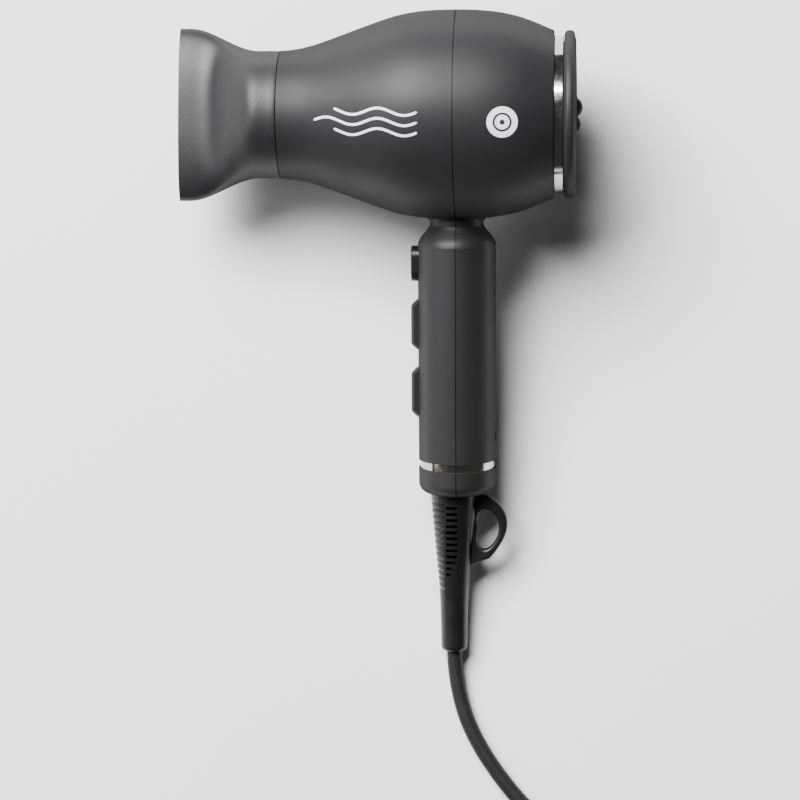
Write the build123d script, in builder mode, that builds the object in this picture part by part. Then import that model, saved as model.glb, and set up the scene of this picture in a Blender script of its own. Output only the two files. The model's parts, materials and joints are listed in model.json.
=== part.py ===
"""Compact hand-held hair dryer with its supply cord, lying on its side on a table.

The dryer is drawn in its own design frame, in millimetres: the barrel runs along X with the
air outlet at -X, the handle runs along -Y, and the two housing halves part on the plane X = 0.
stand() then lays each finished piece down as the dryer comes to rest, on the bulge of the
barrel and the tip of the strain relief. The cord is drawn straight in the table's frame.
"""

import os
from math import copysign, cos, pi, radians, sin, tan

from build123d import *

os.makedirs("parts", exist_ok=True)

# ---------------------------------------------------------------- driving dimensions
# Resting pose: where the barrel's and the handle's axes cross, how far the handle's end dips,
# and how far the barrel is rolled and the whole dryer turned on the table.
CROSSING = (33.9, 97.67, 46.67)
HANDLE_DIP = 9.656
BARREL_ROLL = -3.5
TABLE_TURN = 0.35
REST = Location(CROSSING, (HANDLE_DIP, BARREL_ROLL, TABLE_TURN))

# Barrel, as (x, radius) stations of its outside.
BARREL_R = 46.4
OUTLET_X, OUTLET_R = -78.0, 28.4
INTAKE_X, INTAKE_R = 43.4, 37.1
FRONT_STATIONS = [(OUTLET_X, OUTLET_R), (-57.1, 33.0), (-35.8, 40.8), (0, BARREL_R)]
REAR_STATIONS = [(0, BARREL_R), (28.2, 43.1), (INTAKE_X, INTAKE_R)]
WALL = 2.2
LIP = 2.0
SEAM_WIDTH, SEAM_DEPTH = 0.45, 0.7

# Handle, along -Y.
HANDLE_R = 17.5
THROAT_R, THROAT_Y = 12.0, -49.0
SHOULDER_Y = -58.0
BAND_TOP_Y, BAND_BOTTOM_Y = -155.5, -159.2
BAND_R, BAND_THICKNESS = 16.7, 0.5
HANDLE_END_Y = -170.9
END_ROUND = 5.0
HANDLE_SCREW_Y, CLAMP_Y = -144.0, -163.4

# Controls on the front of the handle.
CONTROL_FACE_X = -20.5
COOL_SHOT_Y = -66.6
SPEED_Y, HEAT_Y = -93.9, -124.6
PIVOT_X, PIVOT_PIN_R = -11.0, 1.2
ROCKER_SWEEP_R = 13.1
ROCKER_HALF_WIDTH = 4.6
CONTROL_GAP = 0.35
BOARD_TOP_X, BOARD_UNDER_X = -3.4, -1.8

# Nozzle, from its round neck to its flat mouth, turned on its ring until the mouth lies level.
NECK_BACK_X, NECK_FRONT_X, MOUTH_X = -78.4, -87.0, -123.3
NECK_R, NOZZLE_WALL = 28.3, 1.5
MOUTH_HALF_HEIGHT, MOUTH_HALF_DEPTH = 38.5, 9.5
SPIGOT_R, SPIGOT_END_X = 25.7, -86.0
SLEEVE_R = NECK_R - NOZZLE_WALL - 0.08
BEAD_X, BEAD_R = -82.0, 27.2
NOZZLE_TURN = -HANDLE_DIP

# Air path and motor.
LINER_R = 24.0
DUCT_R, DUCT_WALL, DUCT_NECK_R = 34.3, 1.4, 25.5
MOTOR_R, SHAFT_R = 14.0, 1.15
FAN_R, FAN_HUB_R, FAN_BLADES = 32.4, 11.0, 9
COIL_COUNT, COIL_R, COIL_WIRE_R, COIL_STEP = 9, 17.5, 1.1, 5.5

# Intake cover.
COVER_FRONT_X, COVER_BACK_X, COVER_R = 47.8, 52.6, 37.1
COVER_SKIRT_R = 32.2

# Strain relief, with the loop to hang the dryer by; its axis stands a little before the handle's.
BOOT_X = -1.6
BOOT_STATIONS = [
    (10.6, HANDLE_END_Y - 0.2),
    (9.3, -187.5),
    (7.9, -203.0),
    (6.75, -216.0),
    (6.3, -226.0),
    (6.05, -242.5),
]
BOOT_TIP_Y = -244.5
RIB_COUNT, RIB_TOP_Y, RIB_PITCH, RIB_SLOT = 15, -175.3, 2.85, 1.45
RIB_SPLIT_X, RIB_CORE_R = -3.7, 4.5

# Supply cord and plug, in the table's frame.
CORD_R = 3.5
TIE_THICKNESS, TIE_ARC = 0.8, 11
COIL_CENTRE = (54.0, -274.2)
COIL_MID_R, COIL_WIDTH, COIL_HEIGHT = 42.0, 28.0, 21.0
PLUG_BOOT_X, PLUG_BACK_X, PLUG_FACE_X = -24.0, -36.0, -68.0
PLUG_Y, PLUG_Z = -312.0, 13.1
PLUG_WIDTH, PLUG_HEIGHT = 35.5, 26.0
PIN_PITCH, PIN_R, PIN_LENGTH = 19.0, 2.4, 19.0


# ---------------------------------------------------------------- helpers
def write(piece, name):
    """Label a finished piece and write it under its node's name."""
    piece.label = name
    export_step(piece, f"parts/{name}.step")


def stand(piece, name):
    """Lay a piece of the dryer down in its resting pose, then write it."""
    write(piece.moved(REST), name)


def band(low, high, inner, outer):
    """A rectangle from x = low to high and from radius inner to outer, in the current sketch."""
    with Locations(((low + high) / 2, (inner + outer) / 2)):
        Rectangle(high - low, outer - inner)


def block(x, y, z, mode=Mode.ADD):
    """A box in the current part, given as (low, high) along each axis."""
    with Locations(((x[0] + x[1]) / 2, (y[0] + y[1]) / 2, (z[0] + z[1]) / 2)):
        Box(x[1] - x[0], y[1] - y[0], z[1] - z[0], mode=mode)


def rod_x(low, high, radius, y=0.0, z=0.0, mode=Mode.ADD):
    """A cylinder along X in the current part."""
    with Locations(((low + high) / 2, y, z)):
        Cylinder(radius, high - low, rotation=(0, 90, 0), mode=mode)


def blend(t):
    """Smooth step from 0 to 1."""
    t = min(1.0, max(0.0, t))
    return t * t * (3 - 2 * t)


def body_form(inset, front_x, back_x, handle_end_y):
    """The dryer's solid form, barrel and handle together, drawn inset from its outside."""
    front = [(x, r - inset) for x, r in FRONT_STATIONS]
    rear = [(x, r - inset) for x, r in REAR_STATIONS]
    handle_r = HANDLE_R - inset
    end_round = max(END_ROUND - inset, 1.0)
    with BuildPart() as form:
        with BuildSketch(Plane.XY):
            with BuildLine():
                nose = Spline(*front, tangents=[(1, 0.03), (1, 0)])
                tail = Spline(*rear, tangents=[(1, 0), (1, -0.43)])
                Polyline(tail @ 1, (INTAKE_X, 0), (OUTLET_X, 0), nose @ 0)
            make_face()
        revolve(axis=Axis.X)
        block((-100, front_x), (-60, 60), (-60, 60), mode=Mode.SUBTRACT)
        block((back_x, 100), (-60, 60), (-60, 60), mode=Mode.SUBTRACT)
        with BuildSketch(Plane.XY):
            with BuildLine():
                throat = Line((THROAT_R - inset, -20), (THROAT_R - inset, THROAT_Y))
                shoulder = Spline(
                    throat @ 1,
                    (handle_r, SHOULDER_Y),
                    tangents=[(0.35, -1), (0.15, -1)],
                )
                side = Line(shoulder @ 1, (handle_r, handle_end_y + end_round))
                corner = RadiusArc(
                    side @ 1, (handle_r - end_round, handle_end_y), end_round
                )
                Polyline(corner @ 1, (0, handle_end_y), (0, -20), throat @ 0)
            make_face()
        revolve(axis=Axis.Y)
    return form.part


# ---------------------------------------------------------------- housing
outside = body_form(0, OUTLET_X, INTAKE_X, HANDLE_END_Y)
under_seam = body_form(SEAM_DEPTH, OUTLET_X, INTAKE_X, HANDLE_END_Y + SEAM_DEPTH)
inside = body_form(WALL, OUTLET_X + LIP, INTAKE_X - LIP, HANDLE_END_Y + WALL)


def rocker_room(y, gap, corner):
    """The room that a rocker sweeps: round its pivot, and a rounded oblong seen from the front."""
    length = 2 * (ROCKER_SWEEP_R + gap)
    width = 2 * (ROCKER_HALF_WIDTH + gap)
    with BuildPart() as room:
        with Locations((PIVOT_X, y, 0)):
            Cylinder(length / 2, width)
        with BuildSketch(Plane.YZ.offset(PIVOT_X - 20)):
            with Locations((y, 0)):
                RectangleRounded(length, width, corner)
        extrude(amount=40, mode=Mode.INTERSECT)
    return room.part


speed_window = rocker_room(SPEED_Y, CONTROL_GAP, 2.0)
heat_window = rocker_room(HEAT_Y, CONTROL_GAP, 2.0)

with BuildPart() as shell:
    add(outside)
    throat_root = shell.edges().filter_by_position(Axis.Y, -48, -40)
    fillet(throat_root, radius=2.4)
    add(inside, mode=Mode.SUBTRACT)
    # Mouths of the barrel, with a lip left at each end.
    rod_x(OUTLET_X - 1, OUTLET_X + LIP + 1, SPIGOT_R + 0.15, mode=Mode.SUBTRACT)
    rod_x(INTAKE_X - LIP - 1, INTAKE_X + 1, 34.0, mode=Mode.SUBTRACT)
    # Seat of the metal band round the handle.
    with BuildSketch(Plane.XY):
        with Locations((BAND_R - BAND_THICKNESS + 1, (BAND_TOP_Y + BAND_BOTTOM_Y) / 2)):
            Rectangle(2.0, BAND_TOP_Y - BAND_BOTTOM_Y)
    revolve(axis=Axis.Y, mode=Mode.SUBTRACT)
    # Hole for the strain relief.
    with Locations((BOOT_X, HANDLE_END_Y, 0)):
        Cylinder(10.0, 10, rotation=(90, 0, 0), mode=Mode.SUBTRACT)
    # Windows of the three controls.
    add(speed_window, mode=Mode.SUBTRACT)
    add(heat_window, mode=Mode.SUBTRACT)
    with BuildSketch(Plane.YZ.offset(-25)):
        with Locations((COOL_SHOT_Y, 0)):
            SlotOverall(16.0 + 2 * CONTROL_GAP, 9.5 + 2 * CONTROL_GAP)
    extrude(amount=14, mode=Mode.SUBTRACT)

with BuildPart() as seam_groove:
    Box(SEAM_WIDTH, 600, 200)
    add(under_seam, mode=Mode.SUBTRACT)

# What stands inside the front half: screw boss, clamp posts and the ledges of the switch frame.
with BuildPart() as front_features:
    rod_x(-20, 0, 3.0, y=HANDLE_SCREW_Y)
    for z in (-6.6, 6.6):
        rod_x(-20, BOOT_X + 3.4, 2.3, y=CLAMP_Y, z=z)
    for y in (-57.6, -139.6):
        for low, high in ((-13.5, -8.5), (8.5, 13.5)):
            block((-9.0, BOARD_TOP_X), (y - 1.0, y + 1.0), (low, high))
    add(under_seam, mode=Mode.INTERSECT)
    rod_x(-10, 1, 1.25, y=HANDLE_SCREW_Y, mode=Mode.SUBTRACT)
    for z in (-6.6, 6.6):
        rod_x(BOOT_X - 5, 4, 1.0, y=CLAMP_Y, z=z, mode=Mode.SUBTRACT)

with BuildPart() as front_housing:
    add(shell.part)
    add(seam_groove.part, mode=Mode.SUBTRACT)
    split(bisect_by=Plane.YZ, keep=Keep.BOTTOM)
    add(front_features.part)
stand(front_housing.part, "front_housing")

with BuildPart() as rear_housing:
    add(shell.part)
    add(seam_groove.part, mode=Mode.SUBTRACT)
    split(bisect_by=Plane.YZ, keep=Keep.TOP)
    rod_x(0, 16, 3.9, y=HANDLE_SCREW_Y)
    rod_x(-1, 20, 1.6, y=HANDLE_SCREW_Y, mode=Mode.SUBTRACT)
    rod_x(7.5, 20, 2.9, y=HANDLE_SCREW_Y, mode=Mode.SUBTRACT)
stand(rear_housing.part, "rear_housing")

with BuildPart() as handle_band:
    with BuildSketch(Plane.XY):
        with Locations((BAND_R - BAND_THICKNESS / 2, (BAND_TOP_Y + BAND_BOTTOM_Y) / 2)):
            Rectangle(BAND_THICKNESS, BAND_TOP_Y - BAND_BOTTOM_Y - 0.2)
    revolve(axis=Axis.Y)
    block((-0.15, 0.15), (-170, -150), (-20, 20), mode=Mode.SUBTRACT)
front_band, rear_band = handle_band.solids().sort_by(Axis.X)
stand(front_band, "handle_band_front")
stand(rear_band, "handle_band_rear")

with BuildPart() as handle_screw:
    rod_x(-9.0, 7.5, 1.25, y=HANDLE_SCREW_Y)
    rod_x(7.5, 9.3, 2.6, y=HANDLE_SCREW_Y)
    for long, wide in ((2.0, 0.3), (0.3, 2.0)):
        low, high = HANDLE_SCREW_Y - long, HANDLE_SCREW_Y + long
        block((8.5, 9.4), (low, high), (-wide, wide), mode=Mode.SUBTRACT)
stand(handle_screw.part, "handle_screw")

with BuildPart() as screw_cover:
    rod_x(12.0, 16.6, 2.85, y=HANDLE_SCREW_Y)
    chamfer(screw_cover.faces().sort_by(Axis.X)[-1].edges(), 0.4)
stand(screw_cover.part, "screw_cover")


# ---------------------------------------------------------------- nozzle
def nozzle_skin(inset):
    """The nozzle's form, from its round neck to its flat mouth, drawn inset from its outside."""
    length = MOUTH_X - NECK_FRONT_X
    neck = (NECK_BACK_X - NECK_FRONT_X) / length
    with BuildPart() as skin:
        for share in (neck, neck * 0.6, neck * 0.2, 0.05, 0.15, 0.3, 0.45, 0.6, 0.75, 0.9, 1.0):
            x = NECK_FRONT_X + share * length
            flare = blend((-88.0 - x) / 31.0)
            squeeze = blend(share / 0.72)
            high = NECK_R + flare * (MOUTH_HALF_HEIGHT - NECK_R) - inset
            deep = NECK_R + squeeze * (MOUTH_HALF_DEPTH - NECK_R) - inset
            power = 2 / (2 + 0.3 * squeeze)
            points = []
            for i in range(32):
                c, s = cos(2 * pi * i / 32), sin(2 * pi * i / 32)
                across = high * copysign(abs(c) ** power, c)
                through = deep * copysign(abs(s) ** power, s)
                points.append((across, through))
            with BuildSketch(Plane.YZ.offset(x)):
                with BuildLine():
                    Spline(*points, periodic=True)
                make_face()
        loft()
    return skin.part


nozzle_outside = nozzle_skin(0)
nozzle_inside = nozzle_skin(NOZZLE_WALL)

with BuildPart() as nozzle:
    add(nozzle_outside)
    add(nozzle_inside, mode=Mode.SUBTRACT)
    with BuildSketch(Plane.XY):
        band(BEAD_X - 0.85, BEAD_X + 0.85, 0, BEAD_R + 0.08)
    revolve(axis=Axis.X, mode=Mode.SUBTRACT)
stand(nozzle.part.moved(Location((0, 0, 0), (NOZZLE_TURN, 0, 0))), "nozzle")

with BuildPart() as nozzle_ring:
    with BuildSketch(Plane.XY):
        band(SPIGOT_END_X - 0.6, NECK_BACK_X - 0.1, SPIGOT_R + 0.08, SLEEVE_R)
        band(BEAD_X - 0.7, BEAD_X + 0.7, SPIGOT_R + 0.08, BEAD_R)
    revolve(axis=Axis.X)
    # Slits let the sleeve grip the spigot.
    for turn in range(6):
        with Locations(Location((0, 0, 0), (60 * turn, 0, 0))):
            with Locations((SPIGOT_END_X + 1.6, 0, SLEEVE_R)):
                Box(5.0, 0.8, 4.0, mode=Mode.SUBTRACT)
stand(nozzle_ring.part, "nozzle_ring")

# ---------------------------------------------------------------- outlet and heater
with BuildPart() as outlet_collar:
    with BuildSketch(Plane.XY):
        band(SPIGOT_END_X, -58.0, LINER_R + 0.2, SPIGOT_R)
        band(-75.9, -74.4, LINER_R + 0.2, SPIGOT_R + 0.5)
    revolve(axis=Axis.X)
    chamfer(outlet_collar.faces().sort_by(Axis.X)[0].edges().sort_by(SortBy.LENGTH)[-1], 0.5)
stand(outlet_collar.part, "outlet_collar")

with BuildPart() as outlet_grille:
    with BuildSketch(Plane.XY):
        band(-75.0, -72.5, 22.6, LINER_R + 0.1)
        for inner in (2.3, 9.3, 16.0):
            band(-75.0, -73.0, inner, inner + 1.2)
    revolve(axis=Axis.X)
    for turn in range(8):
        with Locations(Location((0, 0, 0), (45 * turn, 0, 0))):
            with Locations((-74.0, 0, 13.0)):
                Box(2.0, 1.2, 20.4)
stand(outlet_grille.part, "outlet_grille")

with BuildPart() as ion_emitter:
    rod_x(-76.4, -70.0, 2.2)
    with Locations((-78.4, 0, 0)):
        Cone(0.5, 0.05, 4.0, rotation=(0, -90, 0))
stand(ion_emitter.part, "ion_emitter")

with BuildPart() as heater_liner:
    with BuildSketch(Plane.XY):
        band(-70.0, -18.0, LINER_R - 0.6, LINER_R)
    revolve(axis=Axis.X)
stand(heater_liner.part, "heater_liner")

COIL_X = [-64.0 + COIL_STEP * i for i in range(COIL_COUNT)]
BOARD_X = (-69.0, -18.5)
BOARD_HALF, BOARD_THICKNESS = 23.2, 0.8


def heater_board():
    """One mica board, notched where the coils cross its edges."""
    with BuildPart() as board:
        block(
            BOARD_X,
            (-BOARD_HALF, BOARD_HALF),
            (-BOARD_THICKNESS / 2, BOARD_THICKNESS / 2),
        )
        floor = COIL_R - COIL_WIRE_R - 0.1
        half = COIL_WIRE_R + 0.1
        for x in COIL_X:
            for low, high in ((-30, -floor), (floor, 30)):
                block((x - half, x + half), (low, high), (-1, 1), mode=Mode.SUBTRACT)
    return board.part


board_blank = heater_board()
BOARD_MIDDLE = sum(BOARD_X) / 2
CROSS_HALF = BOARD_THICKNESS / 2 + 0.02

with BuildPart() as heater_board_flat:
    add(board_blank)
    block((-80, BOARD_MIDDLE), (-CROSS_HALF, CROSS_HALF), (-1, 1), mode=Mode.SUBTRACT)
stand(heater_board_flat.part, "heater_board_flat")

with BuildPart() as heater_board_upright:
    add(board_blank, rotation=(90, 0, 0))
    block((BOARD_MIDDLE, 0), (-1, 1), (-CROSS_HALF, CROSS_HALF), mode=Mode.SUBTRACT)
stand(heater_board_upright.part, "heater_board_upright")

with BuildPart() as heating_coils:
    for x in COIL_X:
        with Locations((x, 0, 0)):
            Torus(COIL_R, COIL_WIRE_R, rotation=(0, 90, 0))
stand(heating_coils.part, "heating_coils")

with BuildPart() as thermostat:
    with Locations((-44.0, 8.0, 2.5)):
        Cylinder(3.6, 4.0)
    block((-50.0, -38.0), (7.0, 9.0), (0.4, 0.8))
stand(thermostat.part, "thermostat")

with BuildPart() as thermal_fuse:
    rod_x(-34.0, -24.0, 1.6, y=-8.0, z=2.05)
    rod_x(-38.0, -34.0, 0.4, y=-8.0, z=2.05)
    rod_x(-24.0, -20.0, 0.4, y=-8.0, z=2.05)
stand(thermal_fuse.part, "thermal_fuse")

with BuildPart() as ion_generator:
    block((-40.0, -20.0), (26.5, 34.5), (-8.0, 8.0))
    fillet(ion_generator.edges().filter_by(Axis.Y), radius=1.0)
stand(ion_generator.part, "ion_generator")

# ---------------------------------------------------------------- fan, duct and motor
with BuildPart() as fan_duct:
    with BuildSketch(Plane.XY):
        with BuildLine():
            flare_out = Spline((-15, DUCT_NECK_R), (10, DUCT_R), tangents=[(1, 0), (1, 0)])
            low_r, high_r = DUCT_NECK_R - DUCT_WALL, DUCT_R - DUCT_WALL
            Polyline(flare_out @ 1, (40, DUCT_R), (40, high_r), (10, high_r))
            flare_in = Spline((10, high_r), (-15, low_r), tangents=[(-1, 0), (-1, 0)])
            Polyline(flare_in @ 1, (-21, low_r), (-21, DUCT_NECK_R), flare_out @ 0)
        make_face()
        band(-10.0, 12.0, MOTOR_R + 0.1, MOTOR_R + 1.4)
    revolve(axis=Axis.X)
    # Vanes that straighten the air and carry the motor.
    for turn in range(7):
        vane = Plane((0, 0, 0), x_dir=(1, 0, 0), z_dir=(0, 0, 1)).rotated((360 / 7 * turn, 0, 0))
        with BuildSketch(vane):
            Polygon((-4, 14.6), (8, 14.6), (8, 33.4), (-4, 28.9), align=None)
        extrude(amount=0.6, both=True)
    # Slots for the heater's two tabs.
    for z in (-5.0, 5.0):
        block((-17.6, -15.4), (-28, -20), (z - 0.6, z + 0.6), mode=Mode.SUBTRACT)
stand(fan_duct.part, "fan_duct")

with BuildPart() as duct_foam:
    with BuildSketch(Plane.XY):
        band(12.0, 17.0, DUCT_R + 0.1, 42.6)
    revolve(axis=Axis.X)
stand(duct_foam.part, "duct_foam")

with BuildPart() as duct_damper:
    with BuildSketch(Plane.XY):
        band(34.0, 37.0, DUCT_R, 37.2)
    revolve(axis=Axis.X)
stand(duct_damper.part, "duct_damper")

with BuildPart() as motor_can:
    with BuildSketch(Plane.XY):
        band(-14.0, 16.0, MOTOR_R - 1.1, MOTOR_R)
        band(-14.0, -12.8, 3.4, MOTOR_R)
    revolve(axis=Axis.X)
    for turn in range(4):
        with Locations(Rotation(90 * turn + 45, 0, 0)):
            with Locations((-13.4, 0, 9.0)):
                Cylinder(1.6, 3, rotation=(0, 90, 0), mode=Mode.SUBTRACT)
stand(motor_can.part, "motor_can")

with BuildPart() as motor_end_cap:
    with BuildSketch(Plane.XY):
        band(16.0, 18.0, 3.4, MOTOR_R)
    revolve(axis=Axis.X)
stand(motor_end_cap.part, "motor_end_cap")

with BuildPart() as motor_bearings:
    with BuildSketch(Plane.XY):
        band(-14.0, -11.0, SHAFT_R + 0.04, 3.4)
        band(15.2, 18.2, SHAFT_R + 0.04, 3.4)
    revolve(axis=Axis.X)
stand(motor_bearings.part, "motor_bearings")

with BuildPart() as motor_magnets:
    with BuildSketch(Plane.XY):
        band(-8.0, 12.0, 10.9, MOTOR_R - 1.1)
    revolve(axis=Axis.X)
    block((-10, 14), (-15, 15), (-5, 5), mode=Mode.SUBTRACT)
stand(motor_magnets.part, "motor_magnets")

with BuildPart() as motor_armature:
    with BuildSketch(Plane.XY):
        band(-8.0, 9.0, SHAFT_R, 10.3)
        band(10.5, 14.5, SHAFT_R, 4.2)
    revolve(axis=Axis.X)
    for turn in range(5):
        with Locations(Rotation(72 * turn, 0, 0)):
            with Locations((0.5, 0, 8.6)):
                Box(18.0, 1.6, 5.4, mode=Mode.SUBTRACT)
stand(motor_armature.part, "motor_armature")

with BuildPart() as motor_shaft:
    rod_x(-16.0, 36.0, SHAFT_R)
stand(motor_shaft.part, "motor_shaft")

# A blade is twisted: steep at its root, flatter and longer at its tip.
with BuildPart() as fan_blade:
    for radius, pitch, chord in (
        (FAN_HUB_R - 1.5, 42, 12.0),
        (22.0, 54, 13.5),
        (FAN_R + 1.0, 62, 14.5),
    ):
        station = Plane((26.0, 0, radius), x_dir=(1, 0, 0), z_dir=(0, 0, 1))
        with BuildSketch(station.rotated((0, 0, pitch))):
            RectangleRounded(chord, 1.5, 0.6)
    loft()

with BuildPart() as fan_impeller:
    with BuildSketch(Plane.XY):
        with BuildLine():
            Polyline((20, 0), (20, FAN_HUB_R), (30, FAN_HUB_R))
            nose_cone = Spline(
                (30, FAN_HUB_R), (34.5, 7.5), (36.5, 0), tangents=[(1, 0), (0, -1)]
            )
            Line(nose_cone @ 1, (20, 0))
        make_face()
    revolve(axis=Axis.X)
    for turn in range(FAN_BLADES):
        add(fan_blade.part.rotate(Axis.X, 360 / FAN_BLADES * turn))
    with BuildSketch(Plane.XY):
        band(15, 40, FAN_R, FAN_R + 8)
    revolve(axis=Axis.X, mode=Mode.SUBTRACT)
    rod_x(10, 36.0, SHAFT_R, mode=Mode.SUBTRACT)
stand(fan_impeller.part, "fan_impeller")

# ---------------------------------------------------------------- intake
with BuildPart() as intake_frame:
    with BuildSketch(Plane.XY):
        band(40.1, 41.3, 32.5, 35.4)
        band(40.1, COVER_FRONT_X - 0.3, 32.5, 33.8)
        band(40.1, 41.6, 16.0, 17.4)
        band(40.1, 41.6, 0, 5.0)
    revolve(axis=Axis.X)
    for turn in range(6):
        with Locations(Location((0, 0, 0), (60 * turn, 0, 0))):
            with Locations((40.85, 0, 18.6)):
                Box(1.5, 1.6, 28.4)
stand(intake_frame.part, "intake_frame")

with BuildPart() as rear_trim_ring:
    with BuildSketch(Plane.XY):
        band(INTAKE_X + 0.1, COVER_FRONT_X - 0.3, 33.8, 34.9)
    revolve(axis=Axis.X)
    fillet(rear_trim_ring.edges().filter_by(lambda e: e.length > 2 * pi * 34.5), radius=0.3)
stand(rear_trim_ring.part, "rear_trim_ring")

with BuildPart() as filter_cover:
    with BuildSketch(Plane.XY):
        with BuildLine():
            skirt = Polyline(
                (44.2, 30.8),
                (44.2, COVER_SKIRT_R),
                (COVER_FRONT_X, COVER_SKIRT_R),
                (COVER_FRONT_X, 35.0),
            )
            front_edge = Spline(
                skirt @ 1,
                (COVER_FRONT_X + 2.2, COVER_R),
                tangents=[(0.2, 1), (1, 0)],
            )
            rim = Line(front_edge @ 1, (COVER_BACK_X - 2.2, COVER_R))
            back_edge = Spline(rim @ 1, (COVER_BACK_X, 34.6), tangents=[(1, 0), (0, -1)])
            step = Polyline(back_edge @ 1, (COVER_BACK_X, 34.0), (COVER_BACK_X + 0.5, 33.4))
            dome = ThreePointArc(step @ 1, (53.4, 17.0), (53.5, 0))
            Polyline(dome @ 1, (52.3, 0), (51.4, 30.8), (44.2, 30.8))
        make_face()
    revolve(axis=Axis.X)
    # Air slots, as broken rings.
    with BuildSketch(Plane.YZ.offset(48)):
        for inner in (25.4, 21.8, 18.2, 14.6, 11.0):
            Circle(inner + 2.0)
            Circle(inner, mode=Mode.SUBTRACT)
        with PolarLocations(0, 6):
            with Locations((20, 0)):
                Rectangle(30, 2.2, mode=Mode.SUBTRACT)
    extrude(amount=10, mode=Mode.SUBTRACT)
    rod_x(50, 60, 8.0, mode=Mode.SUBTRACT)
stand(filter_cover.part, "filter_cover")

# A small plate in the middle of the cover, with two domed nubs to pull it by.
with BuildPart() as cover_grip:
    for y, top, radius in ((3.1, 56.0, 4.7), (-4.4, 55.2, 4.6)):
        with Locations((top - radius, y, 0)):
            Sphere(radius)
    rod_x(51.4, 60, 7.9, mode=Mode.INTERSECT)
    rod_x(51.4, 53.7, 7.9)
stand(cover_grip.part, "cover_grip")

with BuildPart() as filter_mesh:
    rod_x(46.0, 46.6, 30.8)
stand(filter_mesh.part, "filter_mesh")


# ---------------------------------------------------------------- controls
def rocker(y):
    """A rocker cap with its pivot pin, in its middle position."""
    top = PIVOT_X - CONTROL_FACE_X
    half = [(-1.5, 2.0), (0.2, 9.0), (2.0, 13.4), (6.2, 11.8), (top, 8.65)]
    outline = [(PIVOT_X - out, y + along) for out, along in half]
    outline += [(PIVOT_X - out, y - along) for out, along in reversed(half)]
    room = rocker_room(y, 0, 3.0)
    with BuildPart() as cap:
        with BuildSketch(Plane.XY):
            Polygon(*outline, align=None)
        extrude(amount=ROCKER_HALF_WIDTH, both=True)
        fillet(cap.edges().filter_by(Axis.Z).group_by(Axis.X)[0], radius=1.6)
        rim = cap.faces().filter_by(Axis.Z).edges()
        chamfer(rim.filter_by_position(Axis.X, CONTROL_FACE_X - 1, PIVOT_X - 4.5), 1.2)
        add(room, mode=Mode.INTERSECT)
        with Locations((PIVOT_X, y, 0)):
            Cylinder(PIVOT_PIN_R, 13.2)
    return cap.part


def rocker_switch(y):
    """The switch under a rocker: its body, two ears that hold the pivot pin, and its tabs."""
    with BuildPart() as switch:
        block((-8.8, BOARD_TOP_X), (y - 9.5, y + 9.5), (-6.6, 6.6))
        for low, high in ((-6.6, -5.0), (5.0, 6.6)):
            block((-12.8, -8.8), (y - 2.6, y + 2.6), (low, high))
        with Locations((PIVOT_X, y, 0)):
            Cylinder(PIVOT_PIN_R + 0.06, 20, mode=Mode.SUBTRACT)
        for step in (-6.0, 0.0, 6.0):
            block((BOARD_TOP_X, 1.5), (y + step - 1.2, y + step + 1.2), (-0.3, 0.3))
    return switch.part


stand(rocker(SPEED_Y), "speed_rocker")
stand(rocker(HEAT_Y), "heat_rocker")
stand(rocker_switch(SPEED_Y), "speed_switch")
stand(rocker_switch(HEAT_Y), "heat_switch")

with BuildPart() as cool_shot_button:
    with BuildSketch(Plane.YZ.offset(CONTROL_FACE_X)):
        with Locations((COOL_SHOT_Y, 0)):
            SlotOverall(16.0, 9.5)
    extrude(amount=-12.7 - CONTROL_FACE_X)
    fillet(cool_shot_button.faces().sort_by(Axis.X)[0].edges(), radius=0.7)
    # A flange keeps the button in, and a stem works the switch.
    with BuildSketch(Plane.YZ.offset(-13.8)):
        with Locations((COOL_SHOT_Y, 0)):
            SlotOverall(17.6, 11.0)
    extrude(amount=1.1)
    rod_x(-12.7, -7.6, 1.2, y=COOL_SHOT_Y)
stand(cool_shot_button.part, "cool_shot_button")

with BuildPart() as cool_shot_switch:
    block((-9.0, BOARD_TOP_X), (COOL_SHOT_Y - 6.2, COOL_SHOT_Y + 6.2), (-3.2, 3.2))
    rod_x(-10, -4.6, 1.28, y=COOL_SHOT_Y, mode=Mode.SUBTRACT)
    for step in (-4.4, 0.0, 4.4):
        low = COOL_SHOT_Y + step - 0.4
        block((BOARD_TOP_X, 1.0), (low, low + 0.8), (-1.5, 1.5))
stand(cool_shot_switch.part, "cool_shot_switch")

with BuildPart() as cool_shot_spring:
    with BuildLine():
        wire = Helix(1.1, 3.3, 2.2, center=(-12.5, COOL_SHOT_Y, 0), direction=(1, 0, 0))
    with BuildSketch(Plane(wire @ 0, z_dir=wire % 0)):
        Circle(0.2)
    sweep(path=wire, is_frenet=True)
stand(cool_shot_spring.part, "cool_shot_spring")

with BuildPart() as switch_frame:
    block((BOARD_TOP_X, BOARD_UNDER_X), (-140.5, -56.8), (-12.6, 12.6))
    for y in (SPEED_Y, HEAT_Y):
        for step in (-6.0, 0.0, 6.0):
            low = y + step - 1.4
            block((-4, 0), (low, low + 2.8), (-0.5, 0.5), mode=Mode.SUBTRACT)
    for step in (-4.4, 0.0, 4.4):
        low = COOL_SHOT_Y + step - 0.6
        block((-4, 0), (low, low + 1.2), (-1.7, 1.7), mode=Mode.SUBTRACT)
stand(switch_frame.part, "switch_frame")

# ---------------------------------------------------------------- wiring
TERMINAL_Y = -152.5
with BuildPart() as terminal_block:
    block((-10.5, -4.0), (TERMINAL_Y - 3.5, TERMINAL_Y + 3.5), (-7.5, 7.5))
    for z in (-5.0, 0.0, 5.0):
        rod_x(-9.0, -3.5, 0.95, y=TERMINAL_Y, z=z, mode=Mode.SUBTRACT)
stand(terminal_block.part, "terminal_block")

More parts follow.
